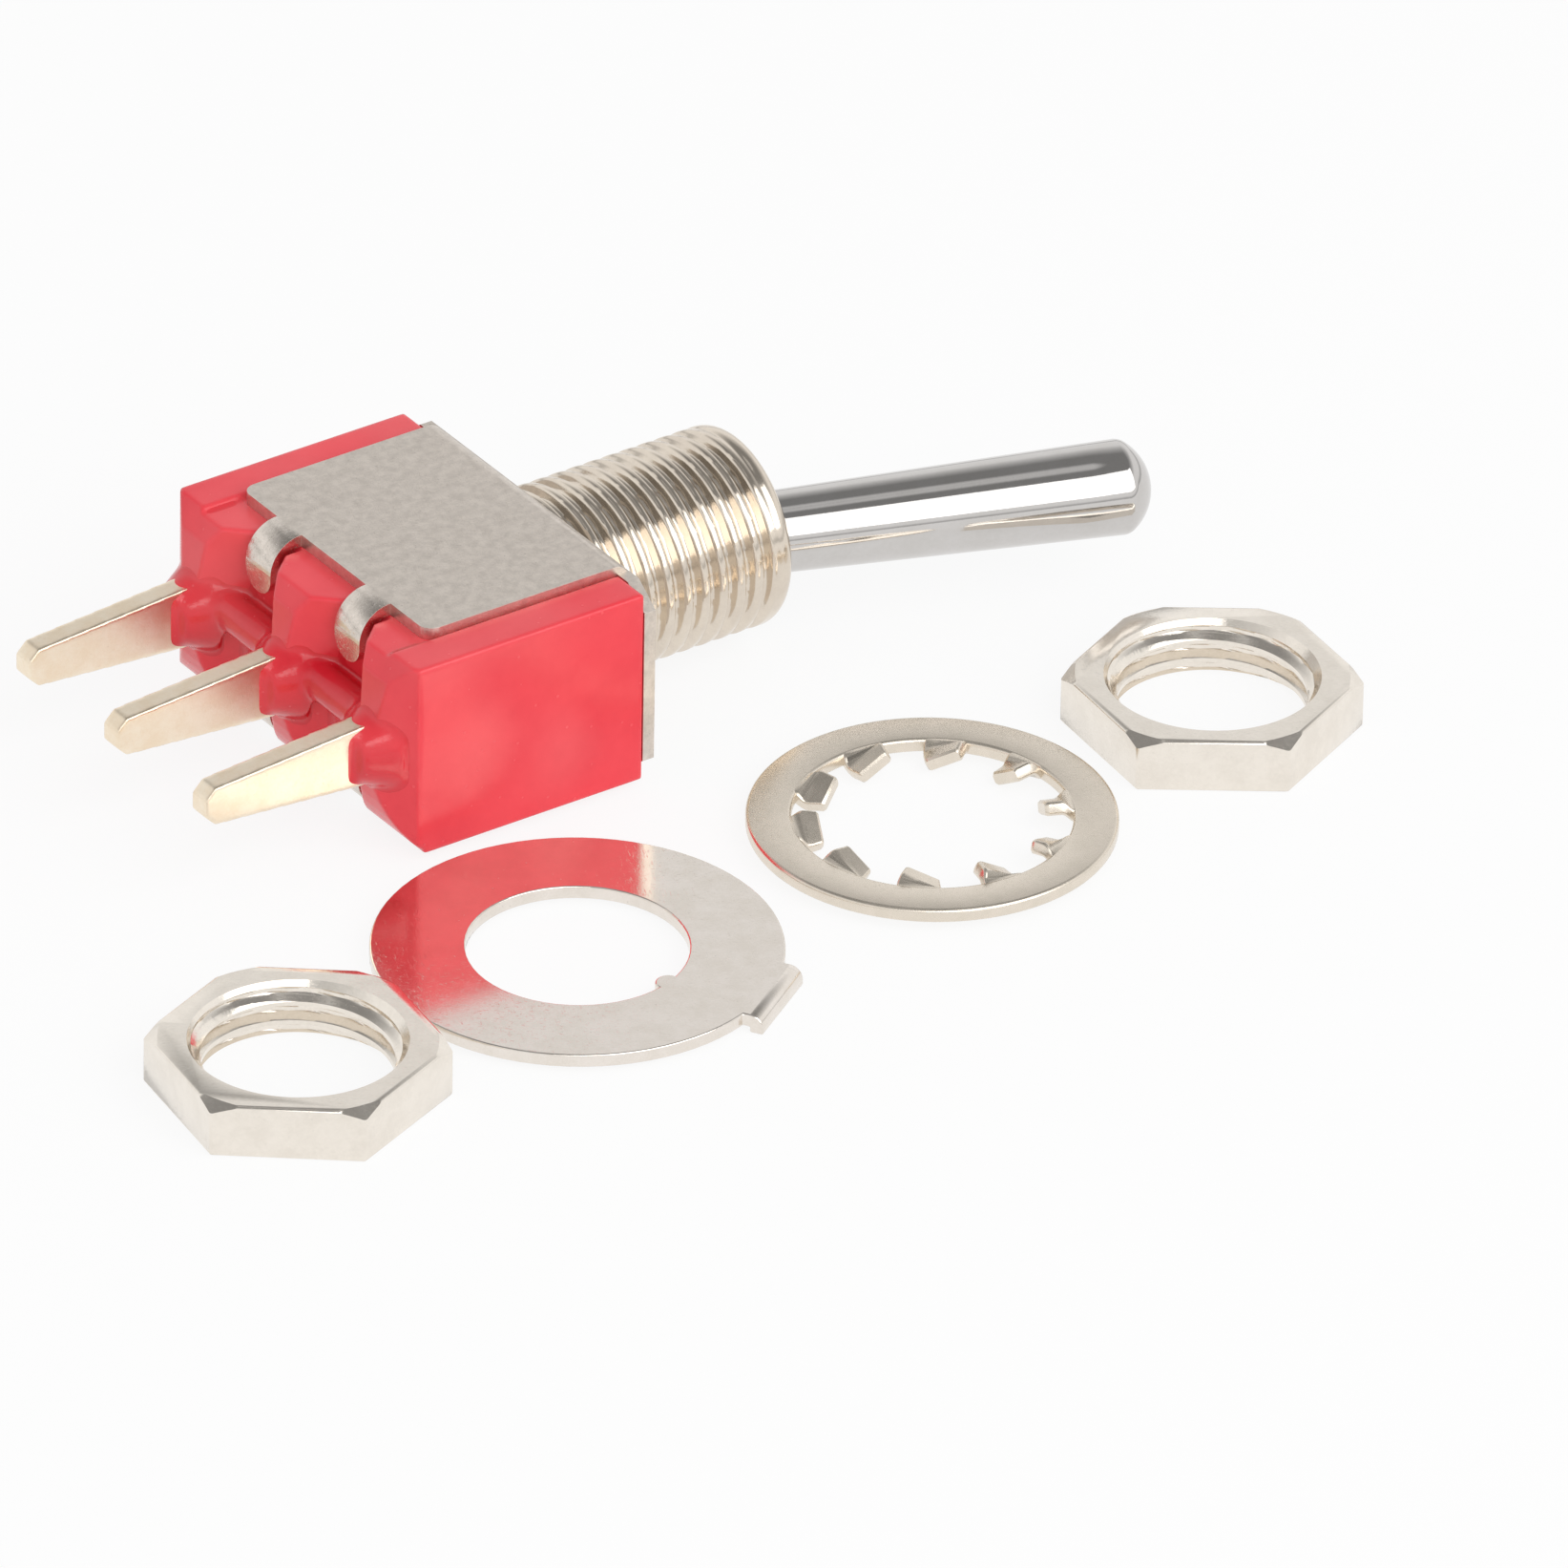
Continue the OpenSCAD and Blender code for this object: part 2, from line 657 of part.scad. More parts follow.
// Terminal blade seen from the side, from the contact chamber to its tip
module blade_side() {
    polygon([
        [chamber_x, -root_half], [boss_x - blade_shoulder, -root_half],
        [blade_x + tip_cut, -tip_half], [blade_x, -tip_half + tip_cut],
        [blade_x, tip_half - tip_cut], [blade_x + tip_cut, tip_half],
        [boss_x - blade_shoulder, root_half], [chamber_x, root_half]
    ]);
}
module end_terminal(side) {
    color(gold) translate([0, side * pitch, 0]) {
        along_y(blade_t) blade_side();
        mirror([0, side > 0 ? 1 : 0, 0])
            translate([chamber_x, -blade_t / 2, -root_half])
                cube([strip_t, head_y + blade_t / 2, blade_root]);
    }
}
module terminal_near() end_terminal(-1);
module terminal_far() end_terminal(1);
module terminal_centre() {
    post = rocker_x - chamber_x;
    color(gold) {
        along_y(blade_t) blade_side();
        difference() {
            translate([chamber_x, -post_half, -cheek_z - cheek_t])
                cube([post + pivot_top, 2 * post_half, 2 * (cheek_z + cheek_t)]);
            translate([rocker_x - post_foot, -post_half - over, -cheek_z])
                cube([post, 2 * (post_half + over), 2 * cheek_z]);
            translate([rocker_x, 0, 0])
                cylinder(r = rib_r + running_gap, h = 2 * cheek_z, center = true);
        }
    }
}
module fixed_contact(side) {
    color(silver) translate([0, side * contact_reach, 0])
        x_cylinder(contact_r, chamber_x + strip_t, contact_x);
}
module fixed_contact_near() fixed_contact(-1);
module fixed_contact_far() fixed_contact(1);

// Hexagon nut: chamfered corners, countersunk thread
module nut() {
    corner_r = nut_af / sqrt(3);
    face_r = nut_af / 2 - nut_edge;
    bevel = (corner_r - face_r) * tan(30);
    sink = nut_sink_r - nut_bore_r;
    difference() {
        intersection() {
            cylinder(r = corner_r, h = nut_t, $fn = 6);
            union() {
                cylinder(r1 = face_r, r2 = corner_r + eps, h = bevel);
                translate([0, 0, bevel]) cylinder(r = corner_r + eps, h = nut_t - 2 * bevel);
                translate([0, 0, nut_t - bevel])
                    cylinder(r1 = corner_r + eps, r2 = face_r, h = bevel);
            }
        }
        translate([0, 0, -over]) cylinder(r = nut_bore_r, h = nut_t + 2 * over);
        translate([0, 0, -eps]) cylinder(r1 = nut_sink_r + eps, r2 = nut_bore_r, h = sink + eps);
        translate([0, 0, nut_t - sink])
            cylinder(r1 = nut_bore_r, r2 = nut_sink_r + eps, h = sink + eps);
    }
}
module on_table(at, turn) {
    translate([at[0], at[1], table_z]) rotate([0, 0, turn]) children();
}
module nut_left() color(nickel) on_table(nut_left_at, nut_left_turn) nut();
module nut_right() color(nickel) on_table(nut_right_at, nut_right_turn) nut();

// Lock washer: a ring with teeth twisted about their own radii
module lock_washer() {
    ring_r = lock_ring_id / 2;
    color(nickel) on_table(lock_at, lock_turn) translate([0, 0, tooth_drop + lock_t / 2]) {
        difference() {
            cylinder(r = lock_od / 2, h = lock_t, center = true);
            cylinder(r = ring_r, h = lock_t + over, center = true);
        }
        for (i = [0:teeth - 1]) rotate([0, 0, 360 * i / teeth])
            translate([tooth_hole_r, 0, 0]) rotate([-tooth_twist, 0, 0])
                translate([0, -tooth_w / 2, -lock_t / 2])
                    cube([ring_r - tooth_hole_r + tooth_root, tooth_w, lock_t]);
    }
}

// Locating washer: an inner key, and an outer tab bent down at the edge
module locating_washer() {
    outer_r = locating_od / 2;
    lift = locating_tab_h - locating_t;
    color(nickel) on_table(locating_at, locating_turn) translate([0, 0, lift]) {
        difference() {
            cylinder(r = outer_r, h = locating_t);
            translate([0, 0, -over]) cylinder(r = washer_hole_r, h = locating_t + 2 * over);
        }
        rotate([0, 0, key_turn]) locating_key();
        translate([outer_r - locating_root, -locating_tab_w / 2, 0])
            cube([locating_root, locating_tab_w, locating_t]);
        translate([outer_r, 0, 0]) rotate([90, 0, 0]) locating_bend();
    }
}
module locating_key() {
    key_r = keyway_w / 2 - running_gap;
    tip = washer_hole_r - key_len;
    translate([tip + key_r, 0, 0]) cylinder(r = key_r, h = locating_t);
    translate([tip + key_r, -key_r, 0]) cube([locating_root, 2 * key_r, locating_t]);
}
module locating_bend() {
    lift = locating_tab_h - locating_t;
    intersection() {
        cylinder(r = locating_t, h = locating_tab_w, center = true);
        translate([0, 0, -locating_tab_w]) cube([locating_t, locating_t, 2 * locating_tab_w]);
    }
    translate([0, -lift, -locating_tab_w / 2]) cube([locating_t, lift, locating_tab_w]);
}

housing();
frame();
bushing();
lever();
plunger();
plunger_spring();
rocker_contact();
terminal_near();
terminal_centre();
terminal_far();
fixed_contact_near();
fixed_contact_far();
epoxy_seal();
nut_left();
nut_right();
lock_washer();
locating_washer();
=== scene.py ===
# %% [markdown]
# Panel toggle switch: looks round a fixed frame
#
# The solids of this small switch come from its CAD source: a red moulded
# housing in a folded steel frame, a threaded bushing with a chrome lever, three
# solder terminals, and the switch's own nuts and washers beside it. This lesson
# gives each of them the finish of the real thing. A solid whose form is right
# keeps its mesh and gets soft edges and a material. A solid that is too plain,
# such as the bushing without its real thread, is replaced by a finer piece.

# %% Load the frame and keep its box
import json
import math

import bmesh
import bpy
from mathutils import Matrix, Vector


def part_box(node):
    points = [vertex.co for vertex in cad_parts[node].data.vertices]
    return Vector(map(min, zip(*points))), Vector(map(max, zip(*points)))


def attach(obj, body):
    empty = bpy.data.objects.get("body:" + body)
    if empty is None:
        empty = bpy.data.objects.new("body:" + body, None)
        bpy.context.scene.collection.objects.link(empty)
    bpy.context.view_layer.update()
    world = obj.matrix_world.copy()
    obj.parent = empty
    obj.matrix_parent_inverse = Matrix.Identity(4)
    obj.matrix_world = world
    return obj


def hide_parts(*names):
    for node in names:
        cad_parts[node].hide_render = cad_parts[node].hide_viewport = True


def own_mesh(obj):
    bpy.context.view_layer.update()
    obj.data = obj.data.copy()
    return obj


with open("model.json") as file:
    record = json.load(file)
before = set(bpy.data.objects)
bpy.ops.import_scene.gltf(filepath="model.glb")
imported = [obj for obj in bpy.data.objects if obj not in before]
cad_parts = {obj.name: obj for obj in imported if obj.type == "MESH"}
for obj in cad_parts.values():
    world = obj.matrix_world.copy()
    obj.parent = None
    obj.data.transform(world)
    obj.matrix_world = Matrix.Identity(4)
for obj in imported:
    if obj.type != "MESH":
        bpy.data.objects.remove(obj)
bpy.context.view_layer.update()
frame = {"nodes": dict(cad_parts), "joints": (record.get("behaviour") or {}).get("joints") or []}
nodes = frame["nodes"]
MM = 0.001

# %% [markdown]
# Places that come from the frame
#
# A piece goes where the CAD says. The bushing's axis is the X axis, so its box
# gives the two ends of the barrel, and the housing's box gives the faces of the
# bosses that carry the terminals. The lever turns on its joint, so the joint
# gives its pivot.

# %% Read the places of the solids
BUSHING_START, BUSHING_END = (corner.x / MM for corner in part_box("bushing"))
BOSS_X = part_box("housing")[0].x / MM
TABLE_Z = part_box("nut_left")[0].z
toggle = next(joint for joint in frame["joints"] if joint["name"] == "lever_toggle")
PIVOT_X = toggle["pos_m"][0]
print("bushing ends at", round(BUSHING_END, 2), "mm, pivot at", round(PIVOT_X / MM, 2), "mm")

# %% [markdown]
# Shader maths as Python
#
# A finish is a formula over a surface: mix two colours by a mask, add a little
# noise to the roughness. Written as nodes by hand, such a formula is hard to
# read. A small class that wraps a node's output socket and overloads the
# operators lets the formula stay a formula, and adds the nodes behind it.

# %% A socket that can be added and multiplied
class Field:
    """A value that varies over a surface: the output socket of a node."""

    def __init__(self, graph, socket):
        self.graph = graph
        self.socket = socket

    def maths(self, operation, *values, **settings):
        return self.graph.node("Math", {"operation": operation, **settings}, dict(enumerate(values)))

    def __add__(self, other):
        return self.maths("ADD", self, other)

    def __sub__(self, other):
        return self.maths("SUBTRACT", self, other)

    def __rsub__(self, other):
        return self.maths("SUBTRACT", other, self)

    def __mul__(self, other):
        return self.maths("MULTIPLY", self, other)

    __radd__ = __add__
    __rmul__ = __mul__

    def above(self, level, soft):
        """0 below level, 1 above level + soft, and a ramp in between."""
        return self.maths("DIVIDE", self - level, soft, use_clamp=True)

    def near(self, level, reach):
        """1 at level, falling to 0 at a distance of reach."""
        return 1.0 - self.maths("ABSOLUTE", self - level).above(0.0, reach)


print("fields can be added, subtracted and multiplied")

# %% [markdown]
# One method that makes any node
#
# A material needs only a few steps: make a node, set its options, set or link
# its inputs. One method does that for every type of node. Its settings are
# given first, because some of them, such as a Math node's operation, decide
# what the inputs mean. Colours are mixed with a Mix node, because a Math node
# would turn them grey.

# %% A graph of nodes, for materials and for the world
class Graph:
    """A node tree in the making."""

    def __init__(self, tree, output):
        self.tree = tree
        self.tree.nodes.clear()
        self.output = self.tree.nodes.new(output)

    def node(self, kind, settings=None, inputs=None, out=0):
        made = self.tree.nodes.new("ShaderNode" + kind)
        for name, value in (settings or {}).items():
            setattr(made, name, value)
        for key, value in (inputs or {}).items():
            self.plug(made.inputs[key], value)
        return Field(self, made.outputs[out])

    def plug(self, socket, value):
        if isinstance(value, Field):
            self.tree.links.new(value.socket, socket)
        elif socket.type == "RGBA":
            socket.default_value = (*value, 1.0)
        else:
            socket.default_value = value

    def mix(self, share, first, second):
        """Colour mix: first where share is 0, second where it is 1."""
        return self.node("Mix", {"data_type": "RGBA"}, {0: share, 6: first, 7: second}, 2)


print("a graph can make and link any node")

# %% [markdown]
# A finish
#
# Every material here is one Principled shader. What stays the same all over is
# set on its sockets, and what changes over the surface is a field that feeds
# colour, roughness or bump. The textures are placed by the piece's own
# coordinates in millimetres, so a speck of 0.1 mm is 0.1 mm on every piece.

# %% The finish and its textures
class Finish(Graph):
    """A material with a Principled shader, and the textures that feed it."""

    def __init__(self, name, **constants):
        self.material = bpy.data.materials.new(name)
        self.material.use_nodes = True
        super().__init__(self.material.node_tree, "ShaderNodeOutputMaterial")
        self.shader = self.tree.nodes.new("ShaderNodeBsdfPrincipled")
        self.tree.links.new(self.shader.outputs["BSDF"], self.output.inputs["Surface"])
        for socket, value in constants.items():
            self.set(socket.replace("_", " "), value)

    def set(self, name, value):
        self.plug(self.shader.inputs[name], value)

    def place(self):
        """Where a point is on the piece, in millimetres."""
        here = self.node("TexCoord", out="Object")
        return self.node("VectorMath", {"operation": "SCALE"}, {0: here, "Scale": 1.0 / MM})

    def noise(self, size, detail=3.0, rough=0.5):
        """Soft random clouds of about size millimetres, around 0.5."""
        inputs = {"Vector": self.place(), "Scale": 1.0 / size, "Detail": detail, "Roughness": rough}
        return self.node("TexNoise", {}, inputs, "Fac")

    def specks(self, spacing, share, soft=0.05):
        """1 inside small round specks whose radius is that share of their spacing."""
        inputs = {"Vector": self.place(), "Scale": 1.0 / spacing}
        far = self.node("TexVoronoi", {}, inputs, "Distance")
        return 1.0 - far.above(share, soft)

    def scratches(self, width, length, turn):
        """1 along fine straight marks that lie at an angle of turn degrees."""
        inputs = {"Vector": self.place(), "Axis": (0.3, 0.2, 0.93), "Angle": math.radians(turn)}
        spun = self.node("VectorRotate", {}, inputs)
        scale = (1.0 / width, 1.0 / length, 1.0 / width)
        where = self.node("VectorMath", {"operation": "MULTIPLY"}, {0: spun, 1: scale})
        inputs = {"Vector": where, "Scale": 1.0, "Detail": 2.0, "Roughness": 0.6}
        return self.node("TexNoise", {}, inputs, "Fac").above(0.62, 0.08)

    def bump(self, height, depth):
        inputs = {"Height": height, "Distance": depth * MM, "Strength": 1.0}
        self.set("Normal", self.node("Bump", {}, inputs, "Normal"))


print("a finish starts from a Principled shader")

# %% [markdown]
# Red moulding
#
# The housing is a hard thermoset plastic: a strong red with a gloss, and a very
# fine ripple from the mould. The plastic's own reflection gives the gloss, with
# a roughness that wanders. Wide clouds of a paler pink are painted on as well:
# in part the plastic's own uneven tone, in part painted reflection, a soft sheen
# that keeps the faces from looking flat.
# The epoxy poured round the terminals is the same red, glossier and a little
# darker, and it has the slow waves of a liquid that has set.

# %% Red plastic and epoxy
def red_finish(name, colour, deep, rough, ripple, wave):
    """The ripple's depth and the width of its waves are in millimetres."""
    finish = Finish(name, IOR=1.5)
    cloud = finish.noise(1.8, 4.0, 0.55)
    grain = finish.noise(0.07, 2.0, 0.6)
    dust = finish.specks(0.55, 0.05)
    # Paler pink clouds at random places: in part uneven tone, in part painted reflection that stands in
    # for soft sheen.
    pale = finish.noise(5.0, 1.0).above(0.42, 0.30)
    tint = finish.mix(cloud.above(0.38, 0.3), colour, deep)
    tint = finish.mix(0.12 * pale, tint, (1.0, 0.42, 0.40))
    finish.set("Base Color", finish.mix(0.12 * dust, tint, (0.95, 0.30, 0.32)))
    finish.set("Roughness", rough + 0.10 * cloud + 0.06 * grain + 0.2 * dust)
    finish.bump(0.7 * finish.noise(wave, 2.0) + 0.3 * grain, ripple)
    return finish.material


glossy_red = red_finish(
    "glossy_red_plastic", (0.89, 0.048, 0.068), (0.83, 0.036, 0.056), rough=0.16, ripple=0.006, wave=1.1
)
poured_red = red_finish(
    "poured_red_epoxy", (0.78, 0.026, 0.042), (0.70, 0.018, 0.034), rough=0.04, ripple=0.016, wave=0.5
)
print("made", glossy_red.name, "and", poured_red.name)

# %% [markdown]
# Metals
#
# A metal's colour is the colour of its reflections, so each metal is a
# metallic shader with a tint, and what tells them apart is how rough they are
# and what marks they carry. Rolled sheet is matt with fine pale and dark
# specks. Nickel is warm, and tumbled parts have small dents and scratches.
# Chrome is nearly a mirror, with fine polishing lines.

# %% Sheet steel, nickel, chrome, gold, silver
def metal_finish(name, colour, deep, rough, spread, cloud_size, grain_size, depth, marks):
    """Sizes and the bump's depth are in millimetres, and marks says how worn the metal is."""
    finish = Finish(name, Metallic=1.0)
    cloud = finish.noise(cloud_size, 5.0, 0.65)
    grain = finish.noise(grain_size, 3.0, 0.7)
    pits = marks * finish.specks(0.33, 0.04, 0.06)
    lines = finish.scratches(0.05, 1.2, 25.0) + finish.scratches(0.06, 0.9, -50.0)
    tone = (0.7 * cloud + 0.3 * grain).above(0.40, 0.20)
    plate = finish.mix(tone, deep, colour)
    finish.set("Base Color", finish.mix(0.6 * pits, plate, tuple(0.75 * part for part in deep)))
    finish.set("Roughness", rough + spread * (0.5 * cloud + 0.5 * grain) + 0.12 * marks * lines)
    finish.bump(0.6 * grain - 0.5 * pits - (0.4 * marks) * lines, depth)
    return finish


# name: colour, deeper colour, roughness, its spread, cloud and grain size, depth, marks
METALS = {
    "sheet_steel": ((0.78, 0.71, 0.64), (0.64, 0.58, 0.52), 0.32, 0.12, 0.38, 0.07, 0.006, 0.9),
    "bright_nickel": ((0.76, 0.68, 0.58), (0.70, 0.62, 0.53), 0.07, 0.10, 1.1, 0.12, 0.002, 0.2),
    "tumbled_nickel": ((0.89, 0.83, 0.75), (0.83, 0.77, 0.69), 0.11, 0.12, 0.9, 0.10, 0.003, 0.5),
    "toothed_nickel": ((0.82, 0.74, 0.64), (0.76, 0.69, 0.59), 0.20, 0.12, 0.6, 0.07, 0.003, 0.6),
    "smooth_nickel": ((0.85, 0.79, 0.73), (0.79, 0.73, 0.66), 0.07, 0.10, 0.8, 0.07, 0.002, 0.8),
    "polished_chrome": ((0.62, 0.60, 0.585), (0.59, 0.57, 0.55), 0.04, 0.05, 1.3, 0.15, 0.0006, 0.15),
    "pale_gold": ((0.95, 0.84, 0.68), (0.90, 0.76, 0.58), 0.24, 0.14, 0.7, 0.09, 0.005, 0.5),
    "contact_silver": ((0.86, 0.85, 0.82), (0.76, 0.75, 0.72), 0.14, 0.12, 0.8, 0.06, 0.003, 0.3),
    "drawn_wire": ((0.55, 0.54, 0.52), (0.42, 0.41, 0.40), 0.22, 0.12, 0.8, 0.05, 0.003, 0.3),
}
finishes = {name: metal_finish(name, *values) for name, values in METALS.items()}
metals = {name: finish.material for name, finish in finishes.items()}
print("made", len(metals), "metals")

# %% [markdown]
# Crimped tabs
#
# The press that curls the frame's tabs over the housing also rubs them bright.
# They lie behind the flaps, so the place along X tells where to polish.

# %% Polish the tabs
FLAP_END = 7.15
POLISH = 0.22
steel = finishes["sheet_steel"]
depth_behind = 0.0 - steel.node("SeparateXYZ", {}, {0: steel.place()}, "X")
matt = Field(steel, steel.shader.inputs["Roughness"].links[0].from_socket)
steel.set("Roughness", matt - POLISH * depth_behind.above(FLAP_END, 0.25))
print("tabs are polished beyond x =", -FLAP_END, "mm")

# %% [markdown]
# Nylon
#
# The plunger is natural nylon: off-white, a little translucent and matt.

# %% Nylon
nylon = Finish("natural_nylon", Subsurface_Weight=0.2, Subsurface_Scale=0.0005)
nylon.set("Base Color", nylon.mix(nylon.noise(0.4), (0.80, 0.77, 0.68), (0.72, 0.69, 0.60)))
nylon.set("Roughness", 0.4 + 0.15 * nylon.noise(0.1))
nylon.bump(nylon.noise(0.08), 0.004)
print("made", nylon.material.name)

# %% [markdown]
# Dressing the solids
#
# Each solid takes its finish in its own mesh. Solids that a finer piece
# replaces later are dressed too, so that nothing is left grey.

# %% Give every solid its finish
def dress(piece, material):
    piece.data.materials.clear()
    piece.data.materials.append(material)


WEARS = {
    glossy_red: ("housing",),
    poured_red: ("epoxy_seal",),
    metals["sheet_steel"]: ("frame",),
    metals["bright_nickel"]: ("bushing",),
    metals["tumbled_nickel"]: ("nut_left", "nut_right"),
    metals["toothed_nickel"]: ("lock_washer",),
    metals["smooth_nickel"]: ("locating_washer",),
    metals["polished_chrome"]: ("lever",),
    metals["pale_gold"]: ("terminal_near", "terminal_centre", "terminal_far"),
    metals["contact_silver"]: ("rocker_contact", "fixed_contact_near", "fixed_contact_far"),
    metals["drawn_wire"]: ("plunger_spring",),
    nylon.material: ("plunger",),
}
for material, names in WEARS.items():
    for name in names:
        dress(nodes[name], material)
print("dressed", sum(len(names) for names in WEARS.values()), "solids")

# %% [markdown]
# Soft edges
#
# No real edge is perfectly sharp: a moulded edge has a radius, a sheared sheet
# rolls over, and tumbling rounds a nut. The light that catches on that radius
# is what makes an edge look real. The CAD meshes are triangles with split
# vertices, so they are welded and their flat faces merged before the bevel.

# %% Bevel the solids that keep their mesh
WELD_REACH = 1e-7
FLAT_ANGLE = 0.6


def soften(piece, width, segments=3, angle=28.0):
    weld = piece.modifiers.new("weld", "WELD")
    weld.merge_threshold = WELD_REACH
    flat = piece.modifiers.new("flat", "DECIMATE")
    flat.decimate_type = "DISSOLVE"
    flat.angle_limit = math.radians(FLAT_ANGLE)
    bevel = piece.modifiers.new("bevel", "BEVEL")
    bevel.width = width * MM
    bevel.segments = segments
    bevel.limit_method = "ANGLE"
    bevel.angle_limit = math.radians(angle)
    bevel.harden_normals = True


EDGES = {"frame": 0.06, "locating_washer": 0.07, "rocker_contact": 0.04}
for name, width in EDGES.items():
    soften(nodes[name], width)
print("softened the edges of", len(EDGES), "solids")

# %% [markdown]
# Making and cutting pieces
#
# A new piece is a mesh that rides on a body and may replace a solid. Some of
# them start as a copy of their solid. A boolean cuts one closed mesh with
# another, and its result is kept as plain mesh data.

# %% Make, copy and cut pieces
def piece_from(mesh, name, material, smooth=True):
    data = bpy.data.meshes.new(name)
    mesh.to_mesh(data)
    mesh.free()
    data.materials.append(material)
    if smooth:
        data.shade_smooth()
    made = bpy.data.objects.new(name, data)
    bpy.context.scene.collection.objects.link(made)
    return made


def copy_of(node, name, material):
    mesh = bmesh.new()
    mesh.from_mesh(nodes[node].data)
    bmesh.ops.remove_doubles(mesh, verts=mesh.verts, dist=WELD_REACH)
    made = piece_from(mesh, name, material, smooth=False)
    dress(made, material)
    return made


def box_piece(middle, size, name, material):
    mesh = bmesh.new()
    bmesh.ops.create_cube(mesh, size=1.0)
    stretch = Matrix.Diagonal((*(side * MM for side in size), 1.0))
    at = Matrix.Translation(Vector(middle) * MM) @ stretch
    bmesh.ops.transform(mesh, matrix=at, verts=mesh.verts)
    return piece_from(mesh, name, material, smooth=False)


def settle(piece):
    """Turn the piece's modifiers into plain mesh data."""
    graph = bpy.context.evaluated_depsgraph_get()
    made = bpy.data.meshes.new_from_object(piece.evaluated_get(graph))
    piece.modifiers.clear()
    piece.data = made


def cut(piece, tool, operation):
    """Change the piece by a boolean with the tool, and throw the tool away."""
    step = piece.modifiers.new("cut", "BOOLEAN")
    step.operation = operation
    step.solver = "EXACT"
    step.object = tool
    settle(piece)
    bpy.data.objects.remove(tool)


print("pieces can be made, copied and cut")

# %% [markdown]
# Turned and skinned bodies
#
# Much of a switch is turned on a lathe. Such a body is a stack of rings, one
# for each point of its profile, with a skin from ring to ring. The same skin
# also covers rings that aren't round, so it makes threads and teeth too. Edges
# sharper than a given angle stay crisp, and the rest is shaded smooth.

# %% Skin rings of points
def smooth_below(piece, degrees):
    """Smooth shading, with edges sharper than that angle kept crisp."""
    mesh = bmesh.new()
    mesh.from_mesh(piece.data)
    limit = math.radians(degrees)
    for face in mesh.faces:
        face.smooth = True
    for edge in mesh.edges:
        edge.smooth = len(edge.link_faces) == 2 and edge.calc_face_angle(0.0) < limit
    mesh.to_mesh(piece.data)
    mesh.free()


def skin(rings, around):
    """A closed skin over rings of points, each ring joined to the next."""
    mesh = bmesh.new()
    loops = [[mesh.verts.new(point) for point in ring] for ring in rings]
    for one, two in zip(loops, loops[1:]):
        for k in range(around):
            mesh.faces.new((one[k], one[(k + 1) % around], two[(k + 1) % around], two[k]))
    if (loops[0][0].co - loops[-1][0].co).length < 1e-9:
        bmesh.ops.remove_doubles(mesh, verts=loops[0] + loops[-1], dist=1e-8)
    else:
        mesh.faces.new(loops[0])
        mesh.faces.new(loops[-1])
    bmesh.ops.recalc_face_normals(mesh, faces=mesh.faces)
    return mesh


def turned(profile, around):
    """Rings of a body turned about X, from pairs of place and radius in mm."""
    angles = [2 * math.pi * k / around for k in range(around)]
    return [
        [(x * MM, r * MM * math.cos(a), r * MM * math.sin(a)) for a in angles]
        for x, r in profile
    ]


print("bodies can be turned and skinned")

# %% [markdown]
# Thread
#
# A real thread is one groove that winds round the barrel, while the solid has
# plain grooves side by side. So the barrel's plain grooves are filled with a
# sleeve, its keyway is cut again, and then the barrel keeps only what lies
# inside a screw-shaped body: rings of points whose radius follows the thread's
# profile, shifted a little round each ring. A 1/4-40 thread climbs 0.635 mm in
# each turn.

# %% The screw-shaped body
PITCH = 0.635
CREST_R = 3.118
ROOT_R = 2.83
AROUND = 144


def ease(value, low, high):
    """0 below low, 1 above high, and an S-shaped rise in between."""
    rise = min(1.0, max(0.0, (value - low) / (high - low)))
    return rise * rise * (3.0 - 2.0 * rise)


def thread_radius(x, angle, crest, root):
    """The thread's radius at a place along the axis and an angle round it."""
    phase = (x / PITCH - angle / (2 * math.pi)) % 1.0
    return root + (crest - root) * ease(abs(2.0 * phase - 1.0), 0.08, 0.80)


def screw_rings(start, end, crest, root, per_turn=14):
    steps = round((end - start) / PITCH * per_turn)
    angles = [2 * math.pi * k / AROUND for k in range(AROUND)]
    rings = []
    for i in range(steps + 1):
        x = start + (end - start) * i / steps
        ring = [(thread_radius(x, a, crest, root) * MM, a) for a in angles]
        rings.append([(x * MM, r * math.cos(a), r * math.sin(a)) for r, a in ring])
    return rings


print("the screw's radius goes from", ROOT_R, "to", CREST_R, "mm")

# %% [markdown]
# End of the barrel
#
# The last turn runs out before the end, and the end has a rounded lip, which
# leads a nut onto the thread. So the screw's radius fades to a plain barrel and
# then follows a quarter of an ellipse. The sleeve that fills the solid's plain
# grooves is a hair wider than the thread's crest, so no trace of them is left.

# %% Cut the bushing's thread
LIP = 0.40
FADE_FROM, FADE_TO = BUSHING_END - 0.95, BUSHING_END - 0.45
SLEEVE = (2.62, 3.119)
KEYWAY_W = 0.9


def barrel_ring(ring, x):
    """Fade the thread out and round the lip, for a ring of points at x."""
    out = ease(x, FADE_FROM, FADE_TO)
    bend = min(1.0, max(0.0, (x - BUSHING_END + LIP) / LIP))
    drop = 0.9 * LIP * (1.0 - math.sqrt(1.0 - bend * bend))
    made = []
    for px, py, pz in ring:
        r = math.hypot(py, pz)
        want = r + (CREST_R * MM - r) * out - drop * MM
        made.append((px, py * want / r, pz * want / r))
    return made


